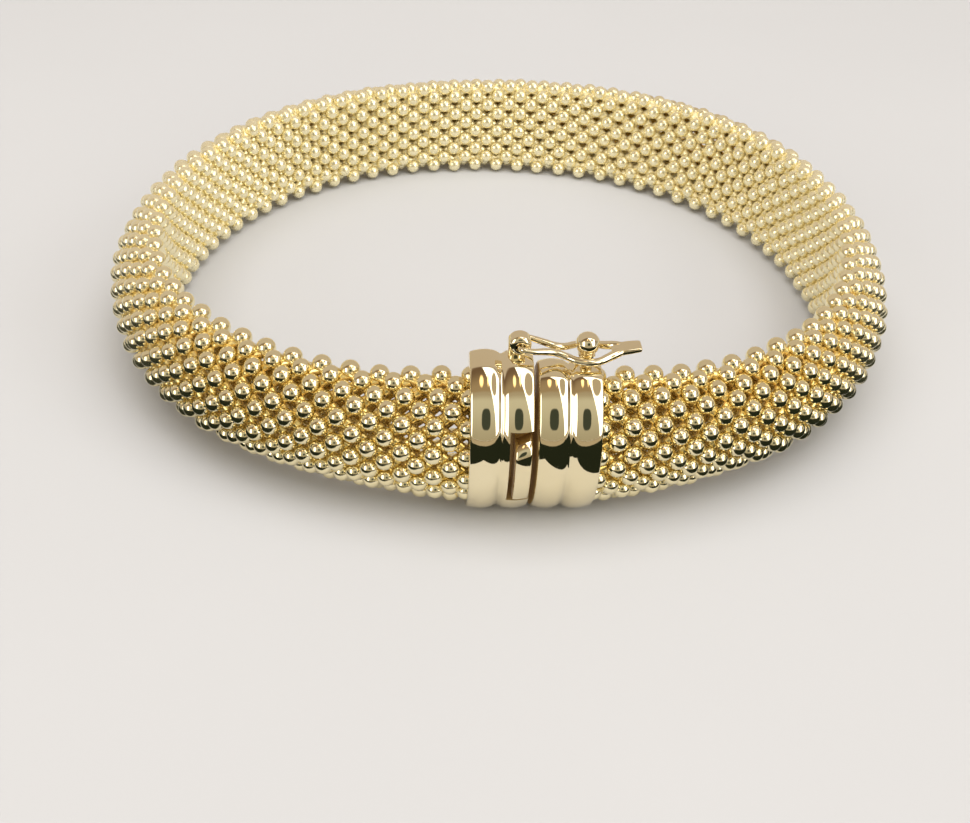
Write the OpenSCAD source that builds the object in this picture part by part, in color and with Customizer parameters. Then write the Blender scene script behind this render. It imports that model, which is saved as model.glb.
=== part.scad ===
// Gold bracelet: a domed band of fine beads, closed by a ribbed box clasp with a
// figure-eight safety catch. It lies on its edge side with the clasp at the front, -Y.
// Angles round the ring start at the clasp and grow counterclockwise, seen from above.

/* [Ring] */
// Mean inner radius, at the wrist side of the band
wrist_r = 28; // [27:0.1:31.5]
// How far the front and back bulge out more than the sides
oval = -0.57; // [-0.8:0.01:0.8]
// How far the ring leans to one diagonal
skew = -0.41; // [-0.6:0.01:0.6]
// How far the ring is pulled in at the clasp, as an egg's end
egg = -0.37; // [-0.5:0.01:0.5]
// Sideways part of the egg shape
egg_skew = 0.16; // [-0.3:0.01:0.3]
// How far the ring is pulled in at front, back and sides, as a rounded square
square_in = 0.35; // [0:0.01:0.5]

/* [Band] */
// Width of the band, which is its height as it lies
band_w = 10.2; // [9.5:0.1:10.4]
// Depth of the band from the wrist side to the crown of its dome
band_t = 4.85; // [4.4:0.05:4.9]
// Radius of the band's rolled edges
band_edge_r = 0.9; // [0.7:0.05:1.2]
// How much wider the band is at the clasp
end_flare = 1.4; // [1:0.05:1.4]
// How far the band is lifted at the clasp, before it widens there
clasp_lift = 0.9; // [0.8:0.05:1]
// How far the band's top leans out at the back right, as a slope
lean_slope = 0.2; // [0:0.01:0.25]

/* [Clasp] */
// Length of the closed clasp along the band
clasp_l = 8.9; // [8.5:0.1:9.5]
// Width of the box half, which is its height as it lies
box_w = 12.9; // [12.5:0.1:13.2]
// Width of the end half, which is its height as it lies
end_w = 12.45; // [12.3:0.05:12.5]
// Depth of the clasp from the wrist side to its crown
clasp_t = 5.8; // [5.7:0.05:6.2]
// Radius of the clasp's face from edge to edge, as a share of the box half's width
face_bulge = 0.554; // [0.55:0.001:0.57]
// Radius of the clasp's shoulders, between its face and its flat edges
shoulder_r = 2.4; // [2.2:0.1:2.6]
// Radius of the clasp's edges at the wrist side
back_r = 0.9; // [0.7:0.05:1.1]
// Radius of the end half's top at its face
end_round = 1.9; // [1.7:0.05:1.95]
// Radius of the end half's top at the wrist side
end_back_r = 1.5; // [1.2:0.05:1.55]
// How far the clasp stands in from the band at the wrist side
clasp_inset = 0.5; // [0.45:0.05:0.6]
// Gap between the two halves
halves_gap = 0.3; // [0.25:0.01:0.35]
// Depth of the grooves between the ribs
groove_depth = 0.35; // [0.25:0.01:0.4]
// How far each rib falls away at a half's two ends
edge_fall = 0.2; // [0.15:0.01:0.22]
// Thickness of the box's walls
wall = 0.55; // [0.5:0.05:0.6]

/* [Thumb tab] */
// Height above the surface where the notch in the box starts
notch_low = 3.2; // [3:0.05:3.3]
// Height above the surface where the notch ends
notch_high = 9.2; // [9.1:0.05:9.3]
// Length of the notch from the box's mouth
notch_l = 1.62; // [1.5:0.01:1.7]
// Width of the slot that shows beside the tab
slot_w = 0.39; // [0.35:0.01:0.42]
// Width of the spring tongue inside the box
tongue_w = 5; // [4.8:0.1:5.2]
// Thickness of the spring's sheet
leaf_t = 0.35; // [0.3:0.01:0.38]

/* [Safety catch] */
// Radius of the catch's wire in its knuckle
wire_r = 0.2; // [0.18:0.01:0.21]
// Running clearance of the wire in its knuckle, all round
pin_play = 0.07; // [0.05:0.01:0.1]
// Outer radius of the hinge knuckle
knuckle_r = 0.78; // [0.7:0.01:0.8]
// Width of the knuckle's rolled strip
knuckle_w = 1; // [0.9:0.05:1.1]
// Height of the hinge and of the ball over the end half
hinge_rise = 1.35; // [1.3:0.05:1.4]
// Distance of the catch's line from the clasp's wrist side
catch_in = 1.4; // [1.3:0.05:1.5]
// Distance of the knuckle from the middle of the clasp
knuckle_x = 1.15; // [1.1:0.01:1.2]
// Radius of the ball stud
ball_r = 0.82; // [0.76:0.01:0.83]
// Radius of the stud's neck
neck_r = 0.42; // [0.35:0.01:0.45]

/* [Hidden] */
$fn = 48;

band_colour = "goldenrod";
clasp_colour = "gold";
catch_colour = "khaki";

// The ring's plan. Its last term turns the clasp square to the front.
square_skew = -(2 * skew + 3 * egg_skew) / 4;
function reach(a) = wrist_r + oval * cos(2 * a) + skew * sin(2 * a) + egg * cos(3 * a)
    + egg_skew * sin(3 * a) - square_in * cos(4 * a) + square_skew * sin(4 * a);
function reach_slope(a) = -2 * oval * sin(2 * a) + 2 * skew * cos(2 * a)
    - 3 * egg * sin(3 * a) + 3 * egg_skew * cos(3 * a)
    + 4 * square_in * sin(4 * a) + 4 * square_skew * cos(4 * a);
function on_ring(a) = [reach(a) * sin(a), -reach(a) * cos(a)];
function heading(a) = a + atan2(-reach_slope(a), reach(a));

// The band is lifted at the clasp and rests on the surface opposite
function lift(a) = clasp_lift * (1 + cos(a)) / 2;
lean_middle = 135;
lean_span = 75;
function lean(a) = lean_slope * (1 + cos(180 * min(1, abs(a - lean_middle) / lean_span))) / 2;

// The band's ends sit in a socket in each clasp half, and are cut square there
half_l = (clasp_l - halves_gap) / 2;
socket_depth = 0.5;
socket_play = 0.13;
band_end_x = clasp_l / 2 - socket_depth + socket_play;
band_end = asin(band_end_x / reach(8));
turn_in = 14;
function ease(t) = t * t * (3 - 2 * t);
function from_clasp(a) = min(a, 360 - a);
function squared(a) = ease(min(1, (from_clasp(a) - band_end) / turn_in));
flare_turn = 20;
function stretch(a) = 1 + end_flare / band_w * (1 - ease(min(1, (from_clasp(a) - band_end) / flare_turn)));
function turned(a) = a > 180 ? heading(a) - 360 : heading(a);
function outward(a) = [sin(turned(a) * squared(a)), -cos(turned(a) * squared(a))];

// A D section: flat at the wrist, domed outside, with rolled edges. [depth, height] points.
function dome_r(w, t, r) = (pow(r - t, 2) + pow(w / 2 - r, 2) - r * r) / (2 * (t - 2 * r));
function dome_turn(w, t, r) = atan2(w / 2 - r, r - t + dome_r(w, t, r));
function arc(centre, r, from, to, n) =
    [for (i = [0:n]) let (a = from + (to - from) * i / n) centre + r * [cos(a), sin(a)]];
function d_section(w, t, r) = let (d = dome_turn(w, t, r), dome = dome_r(w, t, r), n = 4) concat(
    arc([t - dome, w / 2], dome, -d, d, 12),
    [for (i = [1:n]) arc([r, w - r], r, d, 180, n)[i]],
    [for (i = [0:n - 1]) arc([r, r], r, -180, -d, n)[i]]);

// Joins rings of points, each with the same count, into a closed solid
module skin(rings) {
    n = len(rings[0]);
    last = len(rings) - 1;
    sides = [for (i = [0:last - 1], j = [0:n - 1])
        [i * n + j, i * n + (j + 1) % n, (i + 1) * n + (j + 1) % n, (i + 1) * n + j]];
    polyhedron([for (ring = rings, p = ring) p],
        concat(sides, [[for (j = [n - 1:-1:0]) j], [for (j = [0:n - 1]) last * n + j]]));
}

// Places of the clasp's parts: its wrist side, its two half lengths and the hinge line
clasp_y = -(reach(0) - clasp_inset);
rib_chord = half_l / 2;
top_y = clasp_y - catch_in;
hinge_z = end_w + hinge_rise;
pin_r = wire_r + 0.01;
tongue_low = notch_low + 0.9;
leaf_depth = 3.4;
press_room = 0.35;
fixed_leaf_depth = 1;
fold_x = 2.95;
fold_gap = 0.15;
tab_play = 0.15;
tab_top_play = 0.65;

// The ring's outermost points, which set the origin under the middle of the whole part
plan = [for (a = [0:2:358]) on_ring(a) + band_t * [sin(heading(a)), -cos(heading(a))]];
mid_x = (max([for (p = plan) p[0]]) + min([for (p = plan) p[0]])) / 2;
mid_y = (max([for (p = plan) p[1]]) + clasp_y - clasp_t) / 2;

module in_place() {
    translate([-mid_x, -mid_y, 0]) children();
}

// Stations round the band, from the clasp's one end to the other
stations = 90;
function band_ring(a) = [for (p = d_section(band_w, band_t, band_edge_r))
    let (up = p[1] - band_w / 2, at = on_ring(a) + outward(a) * (p[0] + lean(a) * up))
    [at[0], at[1], lift(a) + band_w / 2 + up * stretch(a)]];

module mesh_band() {
    color(band_colour) in_place()
    skin([for (i = [0:stations]) band_ring(band_end + (360 - 2 * band_end) * i / stations)]);
}

// A clasp half's section: a domed face, round shoulders, flat edges and a plain plate at
// the wrist side. Both halves have the same face circle and bottom, and a top of their own:
// its height, shoulder radius and back radius. The inset lowers all but the plate.
plate_edge = 0.85;
face_r = face_bulge * box_w;
face_c = [clasp_t - face_r, box_w / 2];
function shoulder_turn(rise, s) = asin((rise - s) / (face_r - s));
function shoulder_c(turn, s) = face_c + (face_r - s) * [cos(turn), sin(turn)];
low_turn = shoulder_turn(box_w / 2, shoulder_r);
box_top = [box_w, shoulder_r, back_r];
end_top = [end_w, end_round, end_back_r];
function clasp_section(top, inset) = let (w = top[0], s = top[1], b = top[2],
    turn = shoulder_turn(w - box_w / 2, s)) concat(
        arc(face_c, face_r - inset, -low_turn, turn, 12),
        [for (i = [1:4]) arc(shoulder_c(turn, s), s - inset, turn, 90, 4)[i]],
        arc([b, w - b], b - inset, 90, 150, 3),
        [[0, w - 0.95 * b], [0, plate_edge]],
        arc([back_r, back_r], back_r - inset, -150, -90, 2),
        [for (i = [0:3]) arc(shoulder_c(-low_turn, shoulder_r), shoulder_r - inset, -90, -low_turn, 4)[i]]);

// One half's solid form, from x = 0 to half_l: two ribs round that section
rib_steps = 7;
function arc_fall(s, end_fall) = let (c = rib_chord / 2, r = (c * c + pow(end_fall, 2)) / (2 * end_fall))
    r - sqrt(r * r - s * s);
function rib_fall(x) = arc_fall(abs(x % rib_chord - rib_chord / 2),
    abs(x - rib_chord) < rib_chord / 2 ? groove_depth : edge_fall);
function rib_ring(x, top) = [for (p = clasp_section(top, rib_fall(x))) [x, clasp_y - p[0], p[1]]];
module ribbed_half(top) {
    skin([for (i = [0:2 * rib_steps]) rib_ring(half_l * i / (2 * rib_steps), top)]);
}

// The solid form less a hair at the bottom, so that it stands on a narrow flat
rest_cut = 0.06;
module standing_half(top) {
    difference() {
        translate([0, 0, -rest_cut]) ribbed_half(top);
        translate([-1, clasp_y - clasp_t - 1, -1]) cube([half_l + 2, clasp_t + 2, 1]);
    }
}

// The socket for the band's end, cut into a half's outer end
module band_socket() {
    translate([half_l - socket_depth, on_ring(band_end)[1], clasp_lift + band_w / 2])
    rotate([90, 0, 90]) mirror([1, 0, 0]) linear_extrude(socket_depth + 1) offset(delta = socket_play)
    polygon([for (p = d_section(band_w, band_t, band_edge_r)) [p[0], (p[1] - band_w / 2) * stretch(band_end)]]);
}

module left_half() {
    translate([-halves_gap / 2, 0, 0]) mirror([1, 0, 0]) children();
}

module right_half() {
    translate([halves_gap / 2, 0, 0]) children();
}

// A block of the left half, by distance from the mouth, depth from the wrist side, and height
module box_block(near, far, depth_in, depth_out, low, high) {
    left_half() translate([near, clasp_y - depth_out, low])
    cube([far - near, depth_out - depth_in, high - low]);
}

module knuckle() {
    front = 0.575;
    foot_w = 2 * knuckle_r * 0.62;
    foot_h = hinge_z - box_w + groove_depth + rest_cut;
    translate([-knuckle_x, top_y - front + knuckle_w, hinge_z]) rotate([90, 0, 0])
    difference() {
        union() {
            cylinder(r = knuckle_r, h = knuckle_w);
            translate([-knuckle_r, -foot_h, 0]) cube([foot_w, foot_h, knuckle_w]);
        }
        translate([0, 0, -1]) cylinder(r = pin_r + pin_play, h = knuckle_w + 2);
    }
}

module clasp_box() {
    cavity_far = half_l - socket_depth - wall / 2;
    cavity_low = tongue_low - 0.25;
    cavity_high = tongue_low + tongue_w + 0.25;
    cavity_out = leaf_depth + leaf_t + press_room;
    color(clasp_colour) in_place() {
        difference() {
            left_half() standing_half(box_top);
            left_half() band_socket();
            box_block(-1, cavity_far, wall, cavity_out, cavity_low, cavity_high);
            box_block(-1, notch_l, leaf_depth - press_room, clasp_t + 1, notch_low, notch_high);
        }
        knuckle();
    }
}

module ball_stud() {
    collar_r = 0.6;
    translate([ball_x - knuckle_x, top_y, 0]) {
        translate([0, 0, hinge_z]) sphere(r = ball_r);
        translate([0, 0, end_w - 0.8]) cylinder(r = neck_r, h = hinge_rise + 0.5);
        translate([0, 0, end_w - 0.45]) cylinder(r = collar_r, h = 0.55);
    }
}

// The tongue's fixed leaf, with the upright behind which the sprung leaf folds
module fixed_leaf() {
    anchor = 0.6;
    box_block(-halves_gap - anchor, fold_x + leaf_t, fixed_leaf_depth,
        fixed_leaf_depth + leaf_t, tongue_low, tongue_low + tongue_w);
    box_block(fold_x, fold_x + leaf_t, fixed_leaf_depth,
        leaf_depth - fold_gap, tongue_low, tongue_low + tongue_w);
}

module clasp_end() {
    color(clasp_colour) in_place() {
        difference() {
            right_half() standing_half(end_top);
            right_half() band_socket();
        }
        ball_stud();
        fixed_leaf();
    }
}

// The sprung leaf with its thumb piece, which is a stretch of the inner rib
module thumb_tab() {
    color(clasp_colour) in_place() {
        box_block(0.05, fold_x + leaf_t / 2, leaf_depth, leaf_depth + leaf_t,
            tongue_low, tongue_low + tongue_w);
        left_half() translate([fold_x + leaf_t / 2, clasp_y - leaf_depth - leaf_t / 2, tongue_low])
        cylinder(r = leaf_t / 2, h = tongue_w);
        intersection() {
            left_half() standing_half(box_top);
            box_block(0.05, notch_l - slot_w, leaf_depth, clasp_t + 1,
                notch_low + tab_play, notch_high - tab_top_play);
        }
    }
}

// The catch's wire, seen from its hinge: distance out, half gap between strands, height, radius
catch_rows = [
    [0.3, 0.88, -0.02, 0.20],
    [0.9, 0.82, -0.14, 0.21],
    [1.7, 0.58, -0.29, 0.24],
    [2.4, 0.44, -0.46, 0.25],
    [3.1, 0.60, -0.64, 0.25],
    [3.8, 0.97, -0.73, 0.25],
    [4.6, 1.19, -0.73, 0.25],
    [5.3, 1.03, -0.73, 0.26],
    [5.9, 0.76, -0.61, 0.29],
    [6.5, 0.50, -0.45, 0.30],
    [7.0, 0.34, -0.36, 0.22],
];
// The flat finger tip: distance out, half width, half thickness, height
tip_rows = [
    [6.2, 0.40, 0.16, -0.54],
    [6.6, 0.60, 0.22, -0.45],
    [7.2, 0.62, 0.24, -0.33],
    [7.8, 0.58, 0.22, -0.23],
    [8.1, 0.54, 0.19, -0.19],
    [8.18, 0.44, 0.12, -0.18],
];
ball_x = 4.55;

// A smooth curve through a table's rows: column c at row position t
function row(table, i, c) = table[max(0, min(len(table) - 1, i))][c];
function blend(p0, p1, p2, p3, u) = p1 + 0.5 * u * (p2 - p0
    + u * (2 * p0 - 5 * p1 + 4 * p2 - p3 + u * (3 * (p1 - p2) + p3 - p0)));
function along(table, t, c) = let (i = floor(t))
    blend(row(table, i - 1, c), row(table, i, c), row(table, i + 1, c), row(table, i + 2, c), t - i);

// A ring of points round p, across direction d, with the given half width and half height
function unit(v) = v / norm(v);
function hoop(p, d, half_w, half_h, n) = let (side = unit(cross([0, 0, 1], d)), up = cross(d, side))
    [for (k = [0:n - 1]) p + side * half_w * cos(360 * k / n) - up * half_h * sin(360 * k / n)];
module sweep(points, half_ws, half_hs) {
    last = len(points) - 1;
    skin([for (i = [0:last]) hoop(points[i],
        unit(points[min(last, i + 1)] - points[max(0, i - 1)]), half_ws[i], half_hs[i], 10)]);
}

// One side of the wire: a stub inside the pin, an elbow, then the strand to the tip
module strand(side) {
    steps = 27;
    rows = len(catch_rows) - 1;
    elbow_r = catch_rows[0][0];
    elbow_y = catch_rows[0][1] - elbow_r;
    points = concat(
        [[0, side * elbow_y * 0.7, 0]],
        [for (i = [0:5]) let (a = 180 - 15 * i)
            [elbow_r + elbow_r * cos(a), side * (elbow_y + elbow_r * sin(a)), 0]],
        [for (i = [0:steps]) let (t = rows * i / steps)
            [along(catch_rows, t, 0), side * along(catch_rows, t, 1), along(catch_rows, t, 2)]]);
    radii = concat([for (i = [0:6]) wire_r], [for (i = [0:steps]) along(catch_rows, rows * i / steps, 3)]);
    sweep(points, radii, radii);
}

module finger_tip() {
    sweep([for (r = tip_rows) [r[0], 0, r[3]]], [for (r = tip_rows) r[1]], [for (r = tip_rows) r[2]]);
}

module safety_catch() {
    pin_l = 2 * (catch_rows[0][1] - catch_rows[0][0]) + 0.1;
    color(catch_colour) in_place() translate([-knuckle_x, top_y, hinge_z]) {
        translate([0, pin_l / 2, 0]) rotate([90, 0, 0]) cylinder(r = pin_r, h = pin_l);
        strand(-1);
        strand(1);
        finger_tip();
    }
}

mesh_band();
clasp_box();
clasp_end();
thumb_tab();
safety_catch();
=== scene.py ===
"""Looks of the gold bracelet: a domed band of knitted beads, a ribbed box clasp and its safety catch.

Lengths are worked out in millimetres and turned to metres when a mesh is made. Angles round the
loop start at the clasp and grow counterclockwise, seen from above.
"""
import math

import bpy
import numpy as np
from mathutils import Matrix, Vector

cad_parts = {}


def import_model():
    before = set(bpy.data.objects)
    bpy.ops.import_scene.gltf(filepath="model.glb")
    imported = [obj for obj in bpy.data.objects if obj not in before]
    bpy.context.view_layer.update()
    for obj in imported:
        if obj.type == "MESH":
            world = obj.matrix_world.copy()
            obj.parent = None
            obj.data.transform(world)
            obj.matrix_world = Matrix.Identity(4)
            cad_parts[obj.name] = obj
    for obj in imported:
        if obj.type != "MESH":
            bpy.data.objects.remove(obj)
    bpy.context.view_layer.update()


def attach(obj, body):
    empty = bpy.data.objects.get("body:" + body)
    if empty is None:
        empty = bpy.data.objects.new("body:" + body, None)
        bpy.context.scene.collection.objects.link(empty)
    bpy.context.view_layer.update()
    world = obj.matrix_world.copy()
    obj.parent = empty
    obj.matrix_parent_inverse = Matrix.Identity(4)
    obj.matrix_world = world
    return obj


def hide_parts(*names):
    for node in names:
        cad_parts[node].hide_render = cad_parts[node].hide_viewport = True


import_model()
MM = 0.001
SEED = 11
rng = np.random.default_rng(SEED)

# The part's own measures, as in its source, in millimetres and degrees.
# the loop's inner outline: its mean radius, then how oval, leaning, egg-shaped and squared it is
WRIST_R, OVAL, SKEW, EGG, EGG_SKEW, SQUARE_IN = 28.0, -0.57, -0.41, -0.37, 0.16, 0.35
SQUARE_SKEW = -(2 * SKEW + 3 * EGG_SKEW) / 4
# the band's width, depth and edge radius, and how it widens and rises at the clasp and leans at the back
BAND_W, BAND_T, BAND_EDGE = 10.2, 4.85, 0.9
END_FLARE, FLARE_TURN, BAND_END = 1.4, 20.0, 8.7
CLASP_LIFT = 0.9
LEAN_SLOPE, LEAN_MIDDLE, LEAN_SPAN = 0.2, 135, 75
# the two clasp halves
BOX_W, END_W, CLASP_T = 12.9, 12.45, 5.8
FACE_R = 0.554 * BOX_W
SHOULDER_R, BACK_R = 2.4, 0.9
END_ROUND, END_BACK_R = 1.9, 1.5
PLATE_EDGE, REST_CUT = 0.85, 0.06
CLASP_L, HALVES_GAP = 8.9, 0.3
MOUTH = HALVES_GAP / 2
HALF_L = (CLASP_L - HALVES_GAP) / 2
RIB_CHORD = HALF_L / 2
GROOVE_DEPTH, EDGE_FALL = 0.35, 0.2
CLASP_INSET, CATCH_IN = 0.5, 1.4
WALL, SOCKET_DEPTH = 0.55, 0.5
# the notch for the thumb tab, and the spring tongue with its fixed leaf and its sprung one
NOTCH_LOW, NOTCH_HIGH, NOTCH_L, SLOT_W = 3.2, 9.2, 1.62, 0.39
TAB_PLAY, TAB_TOP_PLAY = 0.15, 0.65
TONGUE_LOW, TONGUE_W, TONGUE_PLAY = NOTCH_LOW + 0.9, 5.0, 0.25
LEAF_T, LEAF_DEPTH, FIXED_LEAF_DEPTH = 0.35, 3.4, 1.0
FOLD_X, FOLD_GAP, PRESS_ROOM = 2.95, 0.15, 0.35
# the catch's hinge and the ball that it closes round
KNUCKLE_X, KNUCKLE_R, HINGE_Z = 1.15, 0.78, END_W + 1.35
BALL_X, BALL_R, NECK_R = 4.55, 0.82, 0.42


def reach(a):
    return (WRIST_R + OVAL * np.cos(2 * a) + SKEW * np.sin(2 * a) + EGG * np.cos(3 * a)
            + EGG_SKEW * np.sin(3 * a) - SQUARE_IN * np.cos(4 * a) + SQUARE_SKEW * np.sin(4 * a))


def reach_slope(a):
    return (-2 * OVAL * np.sin(2 * a) + 2 * SKEW * np.cos(2 * a) - 3 * EGG * np.sin(3 * a)
            + 3 * EGG_SKEW * np.cos(3 * a) + 4 * SQUARE_IN * np.sin(4 * a)
            + 4 * SQUARE_SKEW * np.cos(4 * a))


def heading(a):
    return a + np.arctan2(-reach_slope(a), reach(a))


def lift(a):
    return CLASP_LIFT * (1 + np.cos(a)) / 2


def lean(a):
    share = min(1.0, abs(math.degrees(a) - LEAN_MIDDLE) / LEAN_SPAN)
    return LEAN_SLOPE * (1 + math.cos(math.pi * share)) / 2


def stretch(a):
    share = (min(math.degrees(a), 360 - math.degrees(a)) - BAND_END) / FLARE_TURN
    share = min(max(share, 0.0), 1.0)
    return 1 + END_FLARE / BAND_W * (1 - share * share * (3 - 2 * share))


CLASP_Y = -(reach(0.0) - CLASP_INSET)
TOP_Y = CLASP_Y - CATCH_IN


def middle():
    """The middle of the whole part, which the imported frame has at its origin."""
    a = np.radians(np.arange(0, 360, 2))
    x = reach(a) * np.sin(a) + BAND_T * np.sin(heading(a))
    y = -reach(a) * np.cos(a) - BAND_T * np.cos(heading(a))
    return np.array([(x.max() + x.min()) / 2, (y.max() + CLASP_Y - CLASP_T) / 2, 0.0])


MIDDLE = middle()


def place(points):
    """Points in the drawing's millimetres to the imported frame's metres."""
    return (np.asarray(points, float) - MIDDLE) * MM


# Mesh helpers.
def mesh_object(name, verts, quads, tris=(), smooth=True, sharp=None):
    """An object from vertices in metres; an edge over the angle sharp, in degrees, stays hard."""
    mesh = bpy.data.meshes.new(name)
    quads = np.asarray(quads, np.int64).reshape(-1, 4)
    tris = np.asarray(tris, np.int64).reshape(-1, 3)
    loops = np.concatenate([quads.ravel(), tris.ravel()])
    starts = np.concatenate([np.arange(len(quads)) * 4, len(quads) * 4 + np.arange(len(tris)) * 3])
    mesh.vertices.add(len(verts))
    mesh.vertices.foreach_set("co", np.asarray(verts, np.float32).ravel())
    mesh.loops.add(len(loops))
    mesh.loops.foreach_set("vertex_index", loops.astype(np.int32))
    mesh.polygons.add(len(starts))
    mesh.polygons.foreach_set("loop_start", starts.astype(np.int32))
    mesh.update(calc_edges=True)
    mesh.validate()
    if smooth:
        mesh.shade_smooth()
    if sharp is not None:
        mesh.set_sharp_from_angle(angle=math.radians(sharp))
    ob = bpy.data.objects.new(name, mesh)
    bpy.context.scene.collection.objects.link(ob)
    return ob


def loft(rings, caps=True):
    """Vertices, quads and triangles of a surface through closed rings with the same point count."""
    rings = np.asarray(rings, float)
    count, around = rings.shape[:2]
    i, j = np.meshgrid(np.arange(count - 1), np.arange(around), indexing="ij")
    after = (j + 1) % around
    quads = np.stack([i * around + j, i * around + after, (i + 1) * around + after, (i + 1) * around + j], -1)
    verts = rings.reshape(-1, 3)
    tris = []
    if caps:
        for end, flip in ((0, True), (count - 1, False)):
            centre = len(verts)
            verts = np.vstack([verts, rings[end].mean(0)])
            for m in range(around):
                a, b = end * around + m, end * around + (m + 1) % around
                tris.append((b, a, centre) if flip else (a, b, centre))
    return verts, quads.reshape(-1, 4), np.array(tris, int).reshape(-1, 3)


def tube(points, half_w, half_h, sides, up=(0, 0, 1), power=1.0):
    """Rings of an elliptical tube along points; a power under 1 squares its section."""
    points = np.asarray(points, float)
    along = np.gradient(points, axis=0)
    along /= np.linalg.norm(along, axis=1)[:, None]
    side = np.cross(np.asarray(up, float), along)
    side /= np.linalg.norm(side, axis=1)[:, None]
    top = np.cross(along, side)
    t = np.linspace(0, 2 * np.pi, sides, endpoint=False)
    u = np.sign(np.cos(t)) * np.abs(np.cos(t)) ** power
    v = np.sign(np.sin(t)) * np.abs(np.sin(t)) ** power
    half_w = np.broadcast_to(half_w, len(points))
    half_h = np.broadcast_to(half_h, len(points))
    return (points[:, None] + side[:, None] * (half_w[:, None] * u)[..., None]
            + top[:, None] * (half_h[:, None] * v)[..., None])


def lathe(profile, centre, axis, sides):
    """Rings of a turned shape about the z or y axis: profile is (radius, height) pairs."""
    t = np.linspace(0, 2 * np.pi, sides, endpoint=False)
    rings = []
    for r, h in profile:
        if axis == "z":
            ring = np.stack([r * np.cos(t), r * np.sin(t), np.full(sides, h)], 1)
        else:
            ring = np.stack([r * np.cos(t), np.full(sides, h), -r * np.sin(t)], 1)
        rings.append(ring + np.asarray(centre, float))
    return np.array(rings)


def join(name, shells, sharp):
    """One object from several shells of vertices, quads and triangles, in millimetres."""
    verts, quads, tris, count = [], [], [], 0
    for shell_verts, shell_quads, shell_tris in shells:
        verts.append(shell_verts)
        quads.append(np.asarray(shell_quads, int).reshape(-1, 4) + count)
        tris.append(np.asarray(shell_tris, int).reshape(-1, 3) + count)
        count += len(shell_verts)
    return mesh_object(name, place(np.vstack(verts)), np.vstack(quads), np.vstack(tris), sharp=sharp)


def box_shell(low, high):
    """A block's shell from its lowest and highest corners."""
    verts = np.array([[(high if (corner >> axis) & 1 else low)[axis] for axis in range(3)]
                      for corner in range(8)])
    quads = [(0, 2, 3, 1), (4, 5, 7, 6), (0, 1, 5, 4), (2, 6, 7, 3), (0, 4, 6, 2), (1, 3, 7, 5)]
    return verts, quads, []


# Node helpers.
def new_material(name):
    mat = bpy.data.materials.new(name)
    mat.use_nodes = True
    return mat, mat.node_tree, mat.node_tree.nodes["Principled BSDF"]


def add_node(tree, kind, inputs, **settings):
    """A node with its settings; an input is linked where a socket is given, or else set."""
    node = tree.nodes.new("ShaderNode" + kind)
    for name, value in settings.items():
        setattr(node, name, value)
    for key, value in inputs.items():
        if isinstance(value, bpy.types.NodeSocket):
            tree.links.new(value, node.inputs[key])
        else:
            node.inputs[key].default_value = value
    return node


def maths(tree, operation, *values):
    return add_node(tree, "Math", dict(enumerate(values)), operation=operation).outputs[0]


def ranged(tree, value, low, high, start=0.0, end=1.0, kind="SMOOTHSTEP"):
    """A factor that goes from start to end as value goes from low to high."""
    inputs = {"Value": value, "From Min": low, "From Max": high, "To Min": start, "To Max": end}
    return add_node(tree, "MapRange", inputs, interpolation_type=kind).outputs["Result"]


def mixed(tree, factor, first, second):
    """A blend of two colours, each a socket or (red, green, blue)."""
    inputs = {0: factor}
    for key, colour in ((6, first), (7, second)):
        inputs[key] = (*colour, 1) if isinstance(colour, tuple) else colour
    return add_node(tree, "Mix", inputs, data_type="RGBA").outputs[2]


def clouds(tree, where, scale, detail):
    inputs = {"Vector": where, "Scale": scale, "Detail": detail}
    return add_node(tree, "TexNoise", inputs).outputs["Fac"]


def length_of(tree, vector):
    return add_node(tree, "VectorMath", {0: vector}, operation="LENGTH").outputs["Value"]


def toned(tree, factor, low, high, start=0.0, end=1.0):
    """A colour from low to high as factor goes from start to end."""
    ramp = add_node(tree, "ValToRGB", {"Fac": factor})
    for element, position, colour in zip(ramp.color_ramp.elements, (start, end), (low, high)):
        element.position = position
        element.color = (*colour, 1)
    return ramp.outputs["Color"]


# Materials. Their scales and places are in metres, as the objects are.
# clouds of colour and a fine grain: scale and detail of the noise, and the stretch of it that counts
CLOUD_SCALE, CLOUD_DETAIL, CLOUD_FROM, CLOUD_TO = 260.0, 4.0, 0.3, 0.75
GRAIN_SCALE, GRAIN_DETAIL, GRAIN_FROM, GRAIN_TO, GRAIN_HEIGHT = 2600.0, 3.0, 0.3, 0.7, 0.00002
# the y over which the far side's paler colour, a painted sheen, and its rougher finish come in
FAR_FROM, FAR_TO = -0.024, 0.004
# half axes of the band's middle line, and the shares of them and the y over which the outward back starts
MID_LINE_X, MID_LINE_Y, OUTER_FROM, OUTER_TO = 0.0307, 0.0297, 1.0, 1.05
BEHIND_FROM, BEHIND_TO = 0.006, 0.018


def far_side(tree, where):
    """How far round to the far side a point is, 0 to 1, except on the outward side of the back."""
    y = add_node(tree, "SeparateXYZ", {0: where}).outputs["Y"]
    away = ranged(tree, y, FAR_FROM, FAR_TO, kind="LINEAR")
    scale = (1 / MID_LINE_X, 1 / MID_LINE_Y, 0.0)
    scaled = add_node(tree, "VectorMath", {0: where, 1: scale}, operation="MULTIPLY").outputs[0]
    outer = ranged(tree, length_of(tree, scaled), OUTER_FROM, OUTER_TO)
    behind = ranged(tree, y, BEHIND_FROM, BEHIND_TO, 0.0, -1.0)
    return maths(tree, "MULTIPLY", away, maths(tree, "MULTIPLY_ADD", outer, behind, 1.0))


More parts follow.
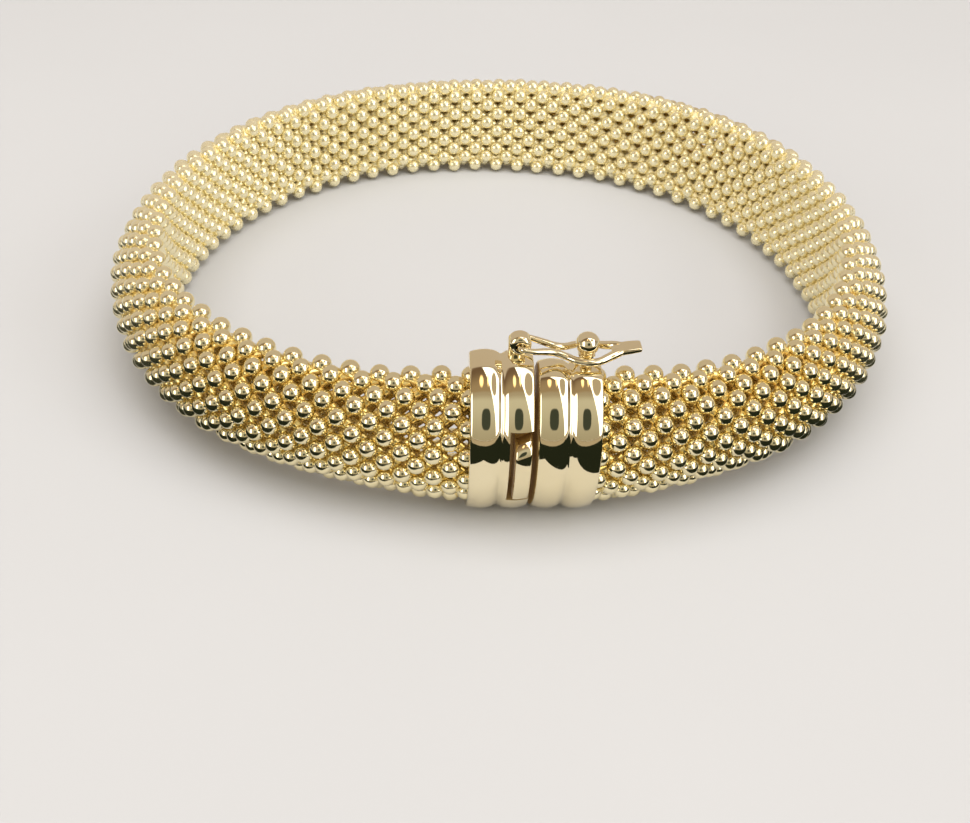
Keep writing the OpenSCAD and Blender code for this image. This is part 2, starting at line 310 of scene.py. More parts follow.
def gold(name, base, deep, rough, grain, metal=1.0, far=None, glow=None):
    """A gold that varies in clouds; far is its paler colour, a painted sheen, and added roughness and
    metallic at the far side.
    """
    mat, tree, shader = new_material(name)
    where = add_node(tree, "TexCoord", {}).outputs["Object"]
    cloud = clouds(tree, where, CLOUD_SCALE, CLOUD_DETAIL)
    fine = clouds(tree, where, GRAIN_SCALE, GRAIN_DETAIL)
    colour = toned(tree, cloud, deep, base, CLOUD_FROM, CLOUD_TO)
    roughness = ranged(tree, fine, GRAIN_FROM, GRAIN_TO, *rough, kind="LINEAR")
    shader.inputs["Metallic"].default_value = metal
    if far:
        far_sheen_colour, more_rough, far_metal = far
        away = far_side(tree, where)
        # a paler colour towards the far side is a painted sheen that lightens the far beads and links
        colour = mixed(tree, away, colour, far_sheen_colour)
        roughness = maths(tree, "MULTIPLY_ADD", away, more_rough, roughness)
        metallic = maths(tree, "MULTIPLY_ADD", away, far_metal - metal, metal)
        tree.links.new(metallic, shader.inputs["Metallic"])
    if glow:
        shader.inputs["Emission Color"].default_value = (*glow, 1)
        shader.inputs["Emission Strength"].default_value = 1.0
    bump = add_node(tree, "Bump", {"Strength": grain, "Distance": GRAIN_HEIGHT, "Height": fine})
    tree.links.new(colour, shader.inputs["Base Color"])
    tree.links.new(roughness, shader.inputs["Roughness"])
    tree.links.new(bump.outputs["Normal"], shader.inputs["Normal"])
    return mat


# towards the far side the beads and links turn paler, a painted sheen
GOLD_BEADS = gold("gold_beads", base=(0.95, 0.85, 0.56), deep=(0.92, 0.80, 0.49), rough=(0.12, 0.18),
                  grain=0.10, far=((1.0, 0.91, 0.61), 0.12, 0.86))
GOLD_CLASP = gold("gold_clasp", base=(0.93, 0.82, 0.56), deep=(0.90, 0.78, 0.51), rough=(0.02, 0.06),
                  grain=0.04)
# the links' deeper amber is a painted reflection: the colour that light takes bouncing between gold beads in
# the gaps
GOLD_LINKS = gold("gold_links", base=(0.96, 0.76, 0.31), deep=(0.93, 0.68, 0.24), rough=(0.12, 0.22),
                  grain=0.15, metal=0.75, far=((1.0, 0.88, 0.54), 0.15, 0.55))
# a dark, dull gold is painted shade on the walls inside the clasp's gaps, and a faint glow stands in for the
# light that polished walls pass down a narrow gap
GOLD_SHADE_AND_GLOW = gold("gold_shade_and_glow", base=(0.42, 0.29, 0.12), deep=(0.36, 0.25, 0.09), rough=(0.35, 0.5),
                   grain=0.30, metal=0.4, glow=(0.026, 0.014, 0.005))
# a dull tan gold is painted shade and painted reflection on the thumb tab's side in the slot, in place of the
# dark wall it reflects there
GOLD_SATIN_SHADE = gold("gold_satin_shade", base=(0.80, 0.68, 0.50), deep=(0.72, 0.60, 0.43), rough=(0.40, 0.55),
                  grain=0.20, metal=0.4)


# What is done with a finished mesh.
def finish(ob, mat, body, nodes=()):
    """Gives a piece its body and replaced nodes, and mat where it has no material."""
    if not ob.data.materials:
        ob.data.materials.append(mat)
    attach(ob, body)
    if nodes:
        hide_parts(*nodes)


# how close a face lies to count as one at the mouth, and the least normal of one that faces along x
COAT_PLAY, FACES_X = 0.001, 0.95


def coat(ob, mat, picked):
    """Gives mat to the faces that picked(centre x in millimetres, normal x) names."""
    ob.data.materials.append(mat)
    index = len(ob.data.materials) - 1
    for poly in ob.data.polygons:
        if picked(poly.center.x / MM + MIDDLE[0], poly.normal.x):
            poly.material_index = index


def carve(ob, shell, sharp):
    """Cuts a shell out of a polished piece and leaves the cut's walls dull and dark, in painted shade."""
    cutter = mesh_object("cutter", place(shell[0]), shell[1], shell[2], smooth=False)
    for cut, mat in ((ob, GOLD_CLASP), (cutter, GOLD_SHADE_AND_GLOW)):
        if not cut.data.materials:
            cut.data.materials.append(mat)
    modifier = ob.modifiers.new("cut", "BOOLEAN")
    modifier.operation = "DIFFERENCE"
    modifier.object = cutter
    modifier.solver = "EXACT"
    modifier.material_mode = "TRANSFER"
    mesh = bpy.data.meshes.new_from_object(ob.evaluated_get(bpy.context.evaluated_depsgraph_get()))
    ob.modifiers.clear()
    ob.data = mesh
    bpy.data.objects.remove(cutter)
    mesh.shade_smooth()
    mesh.set_sharp_from_angle(angle=math.radians(sharp))


# The knitted band.
# a bead's radius and smallest share of it, and how finely it is divided, its rings in degrees
BEAD_R, SMALLEST_BEAD = 0.72, 0.98
BEAD_SIDES, BEAD_RINGS = 18, (12, 25, 38, 51, 64, 77, 90, 103, 116, 131, 148, 165)
# bead pitches in a whole turn, how they crowd at the clasp, and the first bead's angle in radians
PITCHES, CROWDING, FIRST_STATION, STATION_SAMPLES = 80, 0.047, 0.157, 4001
# rows over the dome with the first one's place and their step, and rows over the flat side
DOME_ROWS, DOME_FIRST, DOME_STEP, FLAT_ROWS = 14, -0.225, 0.925, 8
BAND_PIECES = 6
# how unevenly the beads are set: their angle round the loop, outward direction, depth and place
ANGLE_SPREAD, OUTWARD_SPREAD, DEPTH_SPREAD, PLACE_SPREAD = 0.0010, 0.05, 0.035, 0.025
GROUND_PLAY = 0.003
# the links: how deep their ends lie in the beads, how much deeper their middle, half width and height
LINK_DEPTH, LINK_SAG, LINK_SIDES = 0.36, 0.02, 8
LINK_W, LINK_H = 0.46, 0.32
# how much wider and higher they get towards the far side, from a y on and over a span
LINK_W_FAR, LINK_H_FAR = 0.09, 0.06
LINK_FAR_FROM, LINK_FAR_SPAN = -24, 28


def bead_shape():
    """One bead as a ball of radius 1, its outward side +z."""
    around = np.linspace(0, 2 * np.pi, BEAD_SIDES, endpoint=False)
    rings = np.array([[(math.sin(a) * math.cos(u), math.sin(a) * math.sin(u), math.cos(a))
                       for u in around] for a in np.radians(BEAD_RINGS)])
    count = len(BEAD_RINGS)
    top, bottom = count * BEAD_SIDES, count * BEAD_SIDES + 1
    verts = np.vstack([rings.reshape(-1, 3), [[0, 0, 1.0]], [[0, 0, -1.0]]])
    quads, tris = [], []
    for i in range(count - 1):
        upper, lower = i * BEAD_SIDES, (i + 1) * BEAD_SIDES
        for j in range(BEAD_SIDES):
            after = (j + 1) % BEAD_SIDES
            quads.append((upper + j, lower + j, lower + after, upper + after))
    last = (count - 1) * BEAD_SIDES
    for j in range(BEAD_SIDES):
        after = (j + 1) % BEAD_SIDES
        tris.append((j, after, top))
        tris.append((last + after, last + j, bottom))
    return verts, np.array(quads), np.array(tris)


def section_rows():
    """(depth, height, normal's depth part, normal's height part) of each row's bead centre."""
    w, t, r, b = BAND_W, BAND_T, BAND_EDGE, BEAD_R
    dome = ((r - t) ** 2 + (w / 2 - r) ** 2 - r * r) / (2 * (t - 2 * r))
    turn = math.atan2(w / 2 - r, r - t + dome)
    # the line of centres round the section: arcs by centre, radius and angles, a straight run by its ends
    runs = [("arc", (t - dome, w / 2), dome - b, -turn, turn),
            ("arc", (r, w - r), r - b, turn, math.pi),
            ("line", (b, w - r), (b, r)),
            ("arc", (r, r), r - b, -math.pi, -turn)]
    lengths = [run[2] * (run[4] - run[3]) if run[0] == "arc" else run[1][1] - run[2][1] for run in runs]
    total = sum(lengths)
    places = [DOME_FIRST + DOME_STEP * k for k in range(DOME_ROWS)]
    flat = (total + DOME_FIRST - places[-1]) / (FLAT_ROWS + 1)
    places += [places[-1] + flat * (k + 1) for k in range(FLAT_ROWS)]
    rows = []
    for s in places:
        s %= total
        for run, length in zip(runs, lengths):
            if s <= length:
                break
            s -= length
        if run[0] == "arc":
            a = run[3] + (run[4] - run[3]) * s / length
            rows.append((run[1][0] + run[2] * math.cos(a), run[1][1] + run[2] * math.sin(a),
                         math.cos(a), math.sin(a)))
        else:
            rows.append((b, run[1][1] - s, -1.0, 0.0))
    return rows


def stations():
    """Angles of every half pitch round the loop; they crowd towards the clasp."""
    grid = np.linspace(0, 2 * np.pi, STATION_SAMPLES)
    count = (grid + CROWDING * np.sin(grid)) * PITCHES / (2 * np.pi)
    first = np.interp(FIRST_STATION, grid, count)
    last = PITCHES - first
    steps = int(round((last - first) * 2))
    return np.interp(np.linspace(first, last, steps + 1), count, grid)


def bead_places(angles, rows):
    """(centre, outward direction) of the beads by station and row, in a staggered lattice."""
    beads = {}
    for station, angle in enumerate(angles):
        for row, (depth, z, depth_part, height_part) in enumerate(rows):
            if (station + row) % 2 == 0:
                continue
            a = angle + rng.normal(0, ANGLE_SPREAD)
            rise = z - BAND_W / 2
            turned = heading(a)
            out = np.array([math.sin(turned), -math.cos(turned), 0.0])
            centre = np.array([reach(a) * math.sin(a), -reach(a) * math.cos(a), lift(a)])
            centre = centre + out * (depth + lean(a) * rise)
            centre = centre + np.array([0, 0, BAND_W / 2 + rise * stretch(a)])
            normal = out * depth_part + np.array([0, 0, height_part])
            normal = normal + rng.normal(0, OUTWARD_SPREAD, 3)
            normal /= np.linalg.norm(normal)
            centre = centre - normal * abs(rng.normal(0, DEPTH_SPREAD)) + rng.normal(0, PLACE_SPREAD, 3)
            centre[2] = max(centre[2], BEAD_R + GROUND_PLAY)
            beads[station, row] = (centre, normal)
    return beads


def bead_at(shape, centre, normal):
    """A bead's vertices, at a random turn about its outward direction and a slightly random size."""
    x = np.cross((0.0, 0.0, 1.0) if abs(normal[2]) < 0.9 else (1.0, 0.0, 0.0), normal)
    x /= np.linalg.norm(x)
    y = np.cross(normal, x)
    turn = rng.uniform(0, 2 * np.pi)
    x, y = x * math.cos(turn) + y * math.sin(turn), y * math.cos(turn) - x * math.sin(turn)
    r = BEAD_R * rng.uniform(SMALLEST_BEAD, 1.0)
    return centre + r * (shape[:, :1] * x + shape[:, 1:2] * y + shape[:, 2:] * normal)


def link_between(centre, normal, other_centre, other_normal):
    """The short bar that joins two beads."""
    start, end = centre - normal * LINK_DEPTH, other_centre - other_normal * LINK_DEPTH
    mid = (start + end) / 2 - (normal + other_normal) * LINK_SAG
    away = min(max((centre[1] - LINK_FAR_FROM) / LINK_FAR_SPAN, 0.0), 1.0)
    half_w, half_h = LINK_W + LINK_W_FAR * away, LINK_H + LINK_H_FAR * away
    return loft(tube(np.array([start, mid, end]), half_w, half_h, LINK_SIDES, up=normal), caps=False)


def band():
    shape, bead_quads, bead_tris = bead_shape()
    rows = section_rows()
    angles = stations()
    beads = bead_places(angles, rows)
    for piece in range(BAND_PIECES):
        low, high = piece * len(angles) / BAND_PIECES, (piece + 1) * len(angles) / BAND_PIECES
        verts, quads, tris, is_link, count = [], [], [], [], 0
        for (station, row), (centre, normal) in beads.items():
            if not low <= station < high:
                continue
            verts.append(bead_at(shape, centre, normal))
            quads.append(bead_quads + count)
            tris.append(bead_tris + count)
            is_link.append(np.zeros(len(bead_quads), int))
            count += len(shape)
            for step in (-1, 1):
                other = beads.get((station + 1, (row + step) % len(rows)))
                if other is None:
                    continue
                link_verts, link_quads, _ = link_between(centre, normal, *other)
                verts.append(link_verts)
                quads.append(link_quads + count)
                is_link.append(np.ones(len(link_quads), int))
                count += len(link_verts)
        name = f"bead_mesh_{piece + 1}"
        ob = mesh_object(name, place(np.vstack(verts)), np.vstack(quads), np.vstack(tris))
        is_link.append(np.zeros(sum(len(t) for t in tris), int))
        ob.data.materials.append(GOLD_BEADS)
        ob.data.materials.append(GOLD_LINKS)
        ob.data.polygons.foreach_set("material_index", np.concatenate(is_link).astype(np.int32))
        finish(ob, GOLD_BEADS, "bracelet", ("mesh_band",) if piece == 0 else ())


# The clasp.
# a rib's bow, and the groove's steepness, the round at its bottom and how near to it that round counts
RIB_BOW, GROOVE_POWER, GROOVE_ROUND, GROOVE_NEAR, GROOVE_SAMPLES = 1 / 4.6, 6, 0.09, 0.4, 9
# how finely a half is divided, and the round over its two ends
FACE_STEPS, SHOULDER_STEPS, EDGE_STEPS, LENGTH_STEPS, LIP_STEPS = 66, 20, 12, 61, 6
LIP_R = 0.10
# the angles in degrees over which an edge stays hard
HARD_EDGE, SOFT_EDGE, WIRE_EDGE = 28, 40, 45


def rib_fall(x):
    """How far the surface lies under the crown: soft ribs, a tighter curve into the groove."""
    half = RIB_CHORD / 2
    s = abs(x % RIB_CHORD - half)
    if abs(x - RIB_CHORD) < half:
        return RIB_BOW * s * s + (GROOVE_DEPTH - RIB_BOW * half * half) * (s / half) ** GROOVE_POWER
    return EDGE_FALL * (s / half) ** 2


def groove_fall(x):
    """The same with a small round at the bottom of the groove."""
    if abs(x - RIB_CHORD) >= GROOVE_NEAR:
        return rib_fall(x)
    around = np.linspace(-1, 1, GROOVE_SAMPLES)
    return sum(rib_fall(x + GROOVE_ROUND * u) for u in around) / GROOVE_SAMPLES


def arc(centre, r, start, end, count):
    a = np.linspace(start, end, count)
    return np.stack([centre[0] + r * np.cos(a), centre[1] + r * np.sin(a)], 1)


def clasp_ring(x, w, inset):
    """The half's section: the face's circle, then shoulders; the end half has a rounder top."""
    centre = np.array([CLASP_T - FACE_R, BOX_W / 2])
    up_r, up_back_r = (SHOULDER_R, BACK_R) if w == BOX_W else (END_ROUND, END_BACK_R)

    def shoulder(rise, r, sign):
        turn = sign * math.asin((rise - r) / (FACE_R - r))
        return turn, centre + (FACE_R - r) * np.array([math.cos(turn), math.sin(turn)])

    up, up_centre = shoulder(w - BOX_W / 2, up_r, 1)
    low, low_centre = shoulder(BOX_W / 2, SHOULDER_R, -1)
    right, far = math.pi / 2, math.radians(150)
    points = np.vstack([
        arc(centre, FACE_R - inset, low, up, FACE_STEPS),
        arc(up_centre, up_r - inset, up, right, SHOULDER_STEPS)[1:],
        arc((up_back_r, w - up_back_r), up_back_r - inset, right, far, EDGE_STEPS),
        [(0.0, w - 0.95 * up_back_r), (0.0, PLATE_EDGE)],
        arc((BACK_R, BACK_R), BACK_R - inset, -far, -right, EDGE_STEPS),
        arc(low_centre, SHOULDER_R - inset, -right, low, SHOULDER_STEPS)[:-1]])
    z = np.maximum(points[:, 1] - REST_CUT, 0.0)
    return np.stack([np.full(len(points), x), CLASP_Y - points[:, 0], z], 1)


def clasp_half(w, side):
    """A half's outer form from the mouth to the band, its two ends rounded over."""
    turns = np.linspace(0, math.pi / 2, LIP_STEPS)
    lip_x = [LIP_R * (1 - math.cos(t)) for t in turns]
    lip_fall = [LIP_R * (1 - math.sin(t)) for t in turns]
    body = np.linspace(LIP_R, HALF_L - LIP_R, LENGTH_STEPS)[1:-1]
    body = np.sort(np.append(body, RIB_CHORD))
    xs = lip_x + list(body) + [HALF_L - x for x in reversed(lip_x)]
    falls = lip_fall + [0.0] * len(body) + list(reversed(lip_fall))
    rings = np.array([clasp_ring(x, w, groove_fall(x) + fall) for x, fall in zip(xs, falls)])
    rings[..., 0] = side * (MOUTH + rings[..., 0])
    return loft(rings[::-1] if side < 0 else rings)


def box_block(near, far, depth_in, depth_out, low, high):
    """A block on the box half's side: distances from its mouth, depths, and heights."""
    return box_shell((-MOUTH - far, CLASP_Y - depth_out, low), (-MOUTH - near, CLASP_Y - depth_in, high))


def leaf_block(near, far, depth_in, depth_out):
    return box_block(near, far, depth_in, depth_out, TONGUE_LOW, TONGUE_LOW + TONGUE_W)


def knuckle():
    """The hinge: a strip rolled round the pin, its front edge rounded, on a foot."""
    centre = np.array([-KNUCKLE_X, TOP_Y, HINGE_Z])
    front, back, bore = -0.575, 0.425, 0.285
    profile = [(bore, front + 0.1), (0.31, front + 0.03)]
    profile += [(0.36 + 0.42 * math.sin(t), front + 0.36 * (1 - math.cos(t)))
                for t in np.linspace(0.12, math.pi / 2, 14)]
    profile += [(KNUCKLE_R, back - 0.05), (KNUCKLE_R - 0.05, back), (0.315, back), (bore, back - 0.05)]
    rings = lathe(profile, centre, "y", 72)
    roll = loft(np.concatenate([rings, rings[:1]]), caps=False)
    z = np.linspace(BOX_W - 0.4, HINGE_Z - 0.05, 12)
    x = centre[0] - KNUCKLE_R + 0.5 - 0.02 * (z - z[0])
    rise = (z - z[0]) / (z[-1] - z[0])
    line = np.stack([x, centre[1] + (front + back) / 2 + 0.16 * (1 - rise), z], 1)
    foot = loft(tube(line, 0.47, 0.34 + 0.13 * rise, 40, up=(0, 1, 0), power=0.7))
    return [roll, foot]


def thumb_piece():
    """The stretch of the rib that is pressed: soft side edges and a ball-shaped upper end."""
    near, far, low, top = 0.05, NOTCH_L - SLOT_W, NOTCH_LOW + TAB_PLAY, NOTCH_HIGH - TAB_TOP_PLAY
    slant, nose, edge_r, side_bulge = 0.35, 1.15, 0.14, 0.35
    centre = np.array([CLASP_T - FACE_R, BOX_W / 2])
    plain = np.linspace(0, 0.8, 30)
    rounded = 1 - 0.2 * np.cos(np.linspace(0.1, math.pi / 2, 24))
    rings = []
    for v in np.concatenate([plain, rounded]):
        front = []
        for u in np.linspace(0, 1, 33):
            x = near + (far - near) * u
            z_top = top - slant * u
            z = low + (z_top - low) * v
            depth = centre[0] + math.sqrt((FACE_R - groove_fall(x)) ** 2 - (z + REST_CUT - centre[1]) ** 2)
            edge = min(u, 1 - u) * (far - near)
            side_fall = edge_r - math.sqrt(edge_r ** 2 - max(edge_r - edge, 0.0) ** 2)
            rise = max(0.0, (z - z_top) / nose + 1)
            across = (2 * u - 1) * 0.8
            nose_fall = nose * (1 - math.sqrt(max(0.0, 1 - rise ** 2)))
            nose_fall += side_bulge * rise ** 2 * across ** 2
            front.append((x, depth - side_fall - nose_fall, z))
        back = [(far, LEAF_DEPTH, front[-1][2]), (near, LEAF_DEPTH, front[0][2])]
        rings.append([(-MOUTH - x, CLASP_Y - max(d, LEAF_DEPTH), z) for x, d, z in front + back])
    return loft(np.array(rings)[:, ::-1])


def box_half():
    box = join("clasp_box_smooth", [clasp_half(BOX_W, -1)], HARD_EDGE)
    cavity = box_block(-1, HALF_L - SOCKET_DEPTH - WALL / 2, WALL, LEAF_DEPTH + LEAF_T + PRESS_ROOM,
                       TONGUE_LOW - TONGUE_PLAY, TONGUE_LOW + TONGUE_W + TONGUE_PLAY)
    notch = box_block(-1, NOTCH_L, LEAF_DEPTH - PRESS_ROOM, CLASP_T + 1, NOTCH_LOW, NOTCH_HIGH)
    carve(box, cavity, HARD_EDGE)
    carve(box, notch, HARD_EDGE)
    # the box half's mouth face is painted in shade, with a faint painted glow
    coat(box, GOLD_SHADE_AND_GLOW, lambda x, nx: nx > FACES_X and x > -MOUTH - COAT_PLAY)
    finish(box, GOLD_CLASP, "bracelet", ("clasp_box",))
    roll = join("catch_knuckle", knuckle(), SOFT_EDGE)
    finish(roll, GOLD_CLASP, "bracelet")


def end_half():
    """The other half with the ball stud and the tongue's fixed leaf."""
    centre = np.array([BALL_X - KNUCKLE_X, TOP_Y, 0.0])
    # a round foot on the clasp, the neck, and a collar under the ball
    profile = [(NECK_R, END_W - 0.8), (NECK_R, END_W - 0.42), (0.58, END_W - 0.4), (0.6, END_W - 0.3),
               (0.6, END_W - 0.04), (0.57, END_W + 0.04), (0.44, END_W + 0.09), (0.40, END_W + 0.2),
               (NECK_R, HINGE_Z - 0.95), (0.54, HINGE_Z - 0.9), (0.6, HINGE_Z - 0.82),
               (0.58, HINGE_Z - 0.72), (0.45, HINGE_Z - 0.64)]
    stud = loft(lathe(profile, centre, "z", 48))
    ball = [(BALL_R * math.sin(t), HINGE_Z - BALL_R * math.cos(t))
            for t in np.linspace(0.02, math.pi - 0.02, 37)]
    ball = loft(lathe(ball, centre, "z", 56))
    leaf = leaf_block(-HALVES_GAP - 0.6, FOLD_X + LEAF_T, FIXED_LEAF_DEPTH, FIXED_LEAF_DEPTH + LEAF_T)
    upright = leaf_block(FOLD_X, FOLD_X + LEAF_T, FIXED_LEAF_DEPTH, LEAF_DEPTH - FOLD_GAP)
    end = join("clasp_end_smooth", [clasp_half(END_W, 1), stud, ball, leaf, upright], HARD_EDGE)
    end.data.materials.append(GOLD_CLASP)
    # the end half's mouth face is painted in shade, with a faint painted glow
    coat(end, GOLD_SHADE_AND_GLOW, lambda x, nx: x < MOUTH + COAT_PLAY)
    finish(end, GOLD_CLASP, "bracelet", ("clasp_end",))


def thumb_tab():
    tab = join("thumb_tab_smooth", [thumb_piece()], SOFT_EDGE)
    tab.data.materials.append(GOLD_CLASP)
    slot_side = -MOUTH - NOTCH_L + SLOT_W + 0.03
    # the tab's side that faces the slot is painted in shade
    coat(tab, GOLD_SATIN_SHADE, lambda x, nx: nx < -FACES_X and x < slot_side)
    finish(tab, GOLD_CLASP, "thumb_tab", ("thumb_tab",))
    block = leaf_block(0.05, FOLD_X + LEAF_T / 2, LEAF_DEPTH, LEAF_DEPTH + LEAF_T)
    leaf = join("thumb_leaf", [block], HARD_EDGE)
    # the leaf inside the box is painted in shade, with a faint painted glow
    finish(leaf, GOLD_SHADE_AND_GLOW, "thumb_tab")


# The safety catch: distance out from the hinge, half gap between strands, height, radius.
CATCH_ROWS = np.array([
    [0.3, 0.88, -0.02, 0.20], [0.9, 0.82, -0.14, 0.21], [1.7, 0.58, -0.29, 0.24], [2.4, 0.44, -0.46, 0.25],
    [3.1, 0.60, -0.64, 0.25], [3.8, 0.97, -0.73, 0.25], [4.6, 1.19, -0.73, 0.25], [5.3, 1.03, -0.73, 0.26],
    [5.9, 0.76, -0.61, 0.29], [6.5, 0.50, -0.45, 0.30], [7.0, 0.34, -0.36, 0.22]])
# its flat tip: distance out, half width, half height, height
TIP_ROWS = np.array([
    [6.2, 0.40, 0.16, -0.54], [6.6, 0.60, 0.22, -0.45], [7.2, 0.62, 0.24, -0.33],
    [7.8, 0.58, 0.22, -0.23], [8.1, 0.54, 0.19, -0.19], [8.18, 0.44, 0.12, -0.18]])
PIN_R, PIN_CORE_R = 0.21, 0.02


def smooth_rows(rows, count):
    """Rows along a smooth curve through the given ones."""
    t = np.linspace(0, len(rows) - 1, count)
    i = np.minimum(t.astype(int), len(rows) - 2)
    u = (t - i)[:, None]
    p = np.vstack([rows[:1], rows, rows[-1:]])
    p0, p1, p2, p3 = p[i], p[i + 1], p[i + 2], p[np.minimum(i + 3, len(p) - 1)]
    return p1 + 0.5 * u * (p2 - p0 + u * (2 * p0 - 5 * p1 + 4 * p2 - p3 + u * (3 * (p1 - p2) + p3 - p0)))


def safety_catch():
    centre = np.array([-KNUCKLE_X, TOP_Y, HINGE_Z])
    bend_r, half_gap, _, wire_r = CATCH_ROWS[0]
    half_pin = half_gap - bend_r
    profile = [(PIN_CORE_R, -half_pin), (PIN_R, -half_pin), (PIN_R, half_pin), (PIN_CORE_R, half_pin)]
    shells = [loft(lathe(profile, centre, "y", 32))]
    rows = smooth_rows(CATCH_ROWS, 90)
    for side in (-1, 1):
        points = [[0, side * half_pin * 0.9, 0]]
        points += [[bend_r + bend_r * math.cos(a), side * (half_pin + bend_r * math.sin(a)), 0]
                   for a in np.radians(np.linspace(180, 95, 12))]
        thick = [wire_r] * len(points) + list(rows[:, 3])
        points += [[x, side * gap, z] for x, gap, z, _ in rows]
        shells.append(loft(tube(np.array(points) + centre, thick, thick, 20)))
    tip = smooth_rows(TIP_ROWS, 40)
    line = np.stack([tip[:, 0], 0 * tip[:, 0], tip[:, 3]], 1) + centre
    shells.append(loft(tube(line, tip[:, 1], tip[:, 2], 32, power=0.55)))
    ob = join("safety_catch_smooth", shells, WIRE_EDGE)
    finish(ob, GOLD_CLASP, "safety_catch", ("safety_catch",))


# Camera, ground and light, in metres.
CAMERA_PLACE = (-0.0085, -0.0941591, 0.057521)
CAMERA_PITCH, CAMERA_ROLL, CAMERA_YAW = 36.5462, 2.9254, 4.7152
FOCAL_PIXELS, PHOTO_WIDTH, SENSOR_WIDTH = 1200.58, 970, 36.0
CLIP_NEAR, CLIP_FAR = 0.001, 20.0
FLOOR_HALF, FLOOR_ROUGH, FLOOR_SCALE, FLOOR_DETAIL = 8.0, 0.9, 18.0, 3.0
FLOOR_DARK, FLOOR_LIGHT, FLOOR_OUTER = (0.458, 0.457, 0.458), (0.486, 0.485, 0.486), (0.90, 0.90, 0.90)
OUTER_FLOOR_FROM, OUTER_FLOOR_TO = 0.3, 1.3
LIGHT_SIZE, LIGHT_WATTS, LIGHT_PLACE = 0.8, 5.5, (0.0, -0.20, 0.6)


def camera():
    pitch, roll, yaw = (math.radians(v) for v in (CAMERA_PITCH, CAMERA_ROLL, CAMERA_YAW))
    level = Vector((math.cos(yaw), -math.sin(yaw), 0))
    ahead = Vector((math.sin(yaw) * math.cos(pitch), math.cos(yaw) * math.cos(pitch), -math.sin(pitch)))
    upright = Vector((math.sin(yaw) * math.sin(pitch), math.cos(yaw) * math.sin(pitch), math.cos(pitch)))
    right = level * math.cos(roll) + upright * math.sin(roll)
    up = upright * math.cos(roll) - level * math.sin(roll)
    data = bpy.data.cameras.new("camera")
    data.sensor_width = SENSOR_WIDTH
    data.lens = FOCAL_PIXELS / PHOTO_WIDTH * SENSOR_WIDTH
    data.clip_start, data.clip_end = CLIP_NEAR, CLIP_FAR
    ob = bpy.data.objects.new("camera", data)
    pose = Matrix((right, up, -ahead)).transposed().to_4x4()
    pose.translation = Vector(CAMERA_PLACE)
    ob.matrix_world = pose
    bpy.context.scene.collection.objects.link(ob)
    bpy.context.scene.camera = ob


def matt(name):
    """A material with no gloss of its own, and its node tree and shader."""
    mat, tree, shader = new_material(name)
    shader.inputs["Roughness"].default_value = FLOOR_ROUGH
    shader.inputs["Specular IOR Level"].default_value = 0.0
    return mat, tree, shader


def floor():
    mat, tree, shader = matt("pale_floor")
    where = add_node(tree, "TexCoord", {}).outputs["Object"]
    near = toned(tree, clouds(tree, where, FLOOR_SCALE, FLOOR_DETAIL), FLOOR_DARK, FLOOR_LIGHT)
    # paler far out, where less of the overhead light falls
    away = ranged(tree, length_of(tree, where), OUTER_FLOOR_FROM, OUTER_FLOOR_TO, kind="LINEAR")
    tree.links.new(mixed(tree, away, near, FLOOR_OUTER), shader.inputs["Base Color"])
    s = FLOOR_HALF
    ob = mesh_object("floor", [(-s, -s, 0), (s, -s, 0), (s, s, 0), (-s, s, 0)], [(0, 1, 2, 3)], smooth=False)
    ob.data.materials.append(mat)


def floor_cards():
    """Flat cards that only reflections show: dark ones at the front, then a tan one further out."""
    tip, left, right = (-0.0036, -0.0474), (-0.0885, 0.0480), (0.0899, 0.0359)
    front, half_w, tan_half = -0.100, 0.068, 1.4
    dark, tan = (0.010, 0.013, 0.008), (0.27, 0.235, 0.18)

    def edge_at(corner):
        """Where the line from the tip to a corner leaves the dark cards' width."""
        x = math.copysign(half_w, corner[0])
        return x, tip[1] + (corner[1] - tip[1]) * (x - tip[0]) / (corner[0] - tip[0])

    cards = (("front_card_left", 0.0006, dark, [tip, edge_at(left), (-half_w, front), (tip[0], front)]),
             ("front_card_right", 0.0006, dark, [edge_at(right), tip, (tip[0], front), (half_w, front)]),
             ("far_card", 0.0004, tan, [(-tan_half, front), (-tan_half, -tan_half), (tan_half, -tan_half),
                                        (tan_half, front)]))
    for name, z, colour, outline in cards:
        mat, _, shader = matt(name)
        shader.inputs["Base Color"].default_value = (*colour, 1)
        mesh = bpy.data.meshes.new(name)
        mesh.from_pydata([(x, y, z) for x, y in outline], [], [list(range(len(outline)))])
        ob = bpy.data.objects.new(name, mesh)
        bpy.context.scene.collection.objects.link(ob)
        mesh.materials.append(mat)
        ob.visible_camera = ob.visible_diffuse = ob.visible_shadow = False


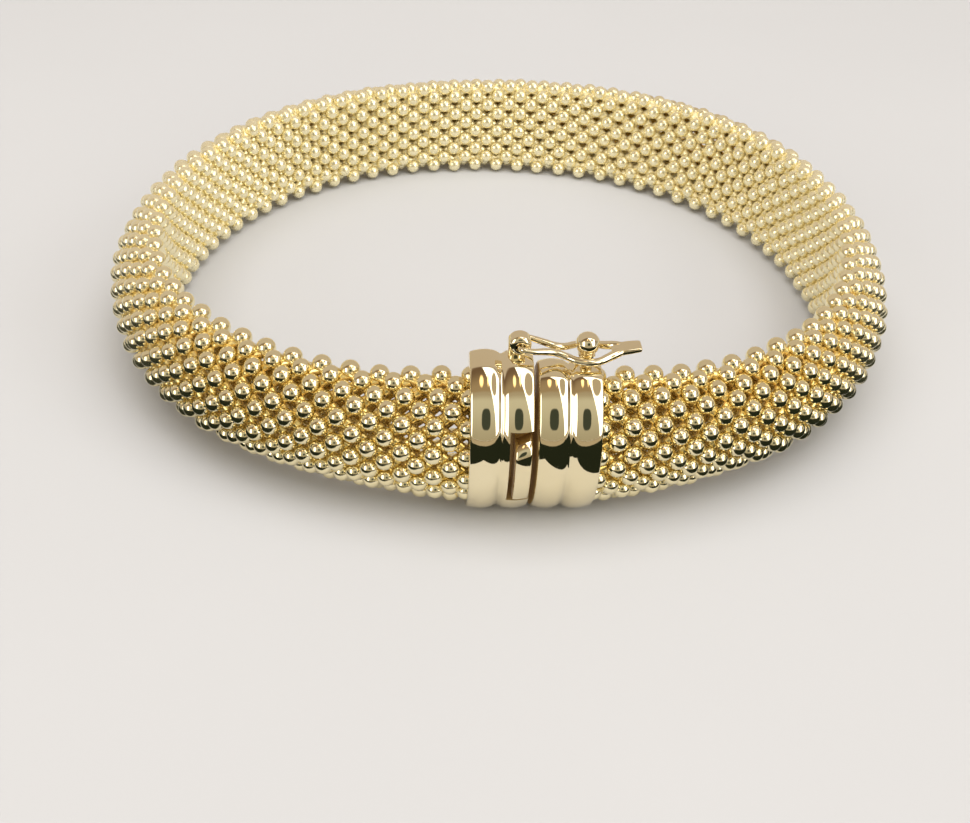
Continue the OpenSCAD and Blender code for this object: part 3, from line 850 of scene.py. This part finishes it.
def world():
    """A soft studio by direction: two white side boxes, a dim tan front, a dark spot and two lamps.

    side and up are in degrees: side from the front plane's middle, up from the horizon over the top.
    """
    studio = bpy.data.worlds.new("studio")
    bpy.context.scene.world = studio
    studio.use_nodes = True
    tree = studio.node_tree
    tree.nodes.clear()
    direction = add_node(tree, "TexCoord", {}).outputs["Generated"]
    parts = add_node(tree, "SeparateXYZ", {0: direction}).outputs
    degrees = 180 / math.pi
    side = maths(tree, "MULTIPLY", maths(tree, "ARCSINE", parts["X"]), degrees)
    front = maths(tree, "MULTIPLY", parts["Y"], -1.0)
    up = maths(tree, "MULTIPLY", maths(tree, "ARCTAN2", parts["Z"], front), degrees)

    def rising(value, start, end):
        return ranged(tree, value, start, end)

    def falling(value, start, end):
        return ranged(tree, value, start, end, 1.0, 0.0)

    def between(value, start, end, soft):
        return maths(tree, "MULTIPLY", rising(value, start, start + soft), falling(value, end - soft, end))

    def oval(side_middle, up_middle, side_r, up_r, soft=0.25, power=2.0):
        total = []
        for value, centre, r in ((side, side_middle, side_r), (up, up_middle, up_r)):
            away = maths(tree, "MULTIPLY", maths(tree, "SUBTRACT", value, centre), 1 / r)
            total.append(maths(tree, "POWER", maths(tree, "ABSOLUTE", away), power))
        return falling(maths(tree, "ADD", *total), 1 - soft, 1 + soft)

    white, lamp, dark_spot = (3.4, 3.4, 3.4), (2.6, 1.9, 1.0), (0.055, 0.065, 0.05)
    side_zone, top_spot = (0.34, 0.31, 0.25), (0.50, 0.42, 0.32)
    # the front's tones from the horizon to overhead
    base = mixed(tree, rising(up, -6, 44), (0.42, 0.38, 0.29), (0.60, 0.57, 0.47))
    for start, end, colour in ((44, 53, (0.42, 0.36, 0.27)), (53, 57, (0.36, 0.27, 0.17)),
                               (60, 82, (0.17, 0.11, 0.07)), (83, 90, (0.56, 0.48, 0.41))):
        base = mixed(tree, rising(up, start, end), base, colour)
    # the right box leans in over the piece, the left one stands upright
    slant = maths(tree, "MULTIPLY", maths(tree, "MULTIPLY", up, up), 0.0065)
    inner = rising(maths(tree, "ADD", side, slant), 38, 41)
    right_box = maths(tree, "MULTIPLY", maths(tree, "MULTIPLY", inner, falling(side, 54, 60)),
                      between(up, -14, 86, 5))
    base = mixed(tree, right_box, base, white)
    base = mixed(tree, oval(31, 66, 12, 15), base, top_spot)
    left_box = maths(tree, "MULTIPLY", between(side, -57, -34, 4), between(up, -14, 57, 4))
    base = mixed(tree, left_box, base, white)
    # two warm lamps high at the front
    for spot in (oval(-9, 67, 4.5, 6, 0.9), oval(9, 70, 2.5, 8, 0.9)):
        base = mixed(tree, spot, base, lamp)
    base = mixed(tree, rising(side, 70, 74), base, side_zone)
    base = mixed(tree, falling(side, -72, -68), base, side_zone)
    base = mixed(tree, oval(4, 24, 13, 12.2, 0.25, 3.0), base, dark_spot)
    background = add_node(tree, "Background", {"Color": base})
    add_node(tree, "OutputWorld", {"Surface": background.outputs[0]})


def overhead_light():
    """A wide soft light from above that no reflection shows."""
    data = bpy.data.lights.new("overhead", "AREA")
    data.shape, data.size, data.size_y = "RECTANGLE", LIGHT_SIZE, LIGHT_SIZE
    data.energy = LIGHT_WATTS
    ob = bpy.data.objects.new("overhead", data)
    ob.location = LIGHT_PLACE
    ob.visible_glossy = False
    bpy.context.scene.collection.objects.link(ob)


camera()
floor()
floor_cards()
world()
overhead_light()
band()
box_half()
end_half()
thumb_tab()
safety_catch()
bpy.context.scene.view_settings.view_transform = "Standard"
bpy.context.scene.view_settings.look = "None"
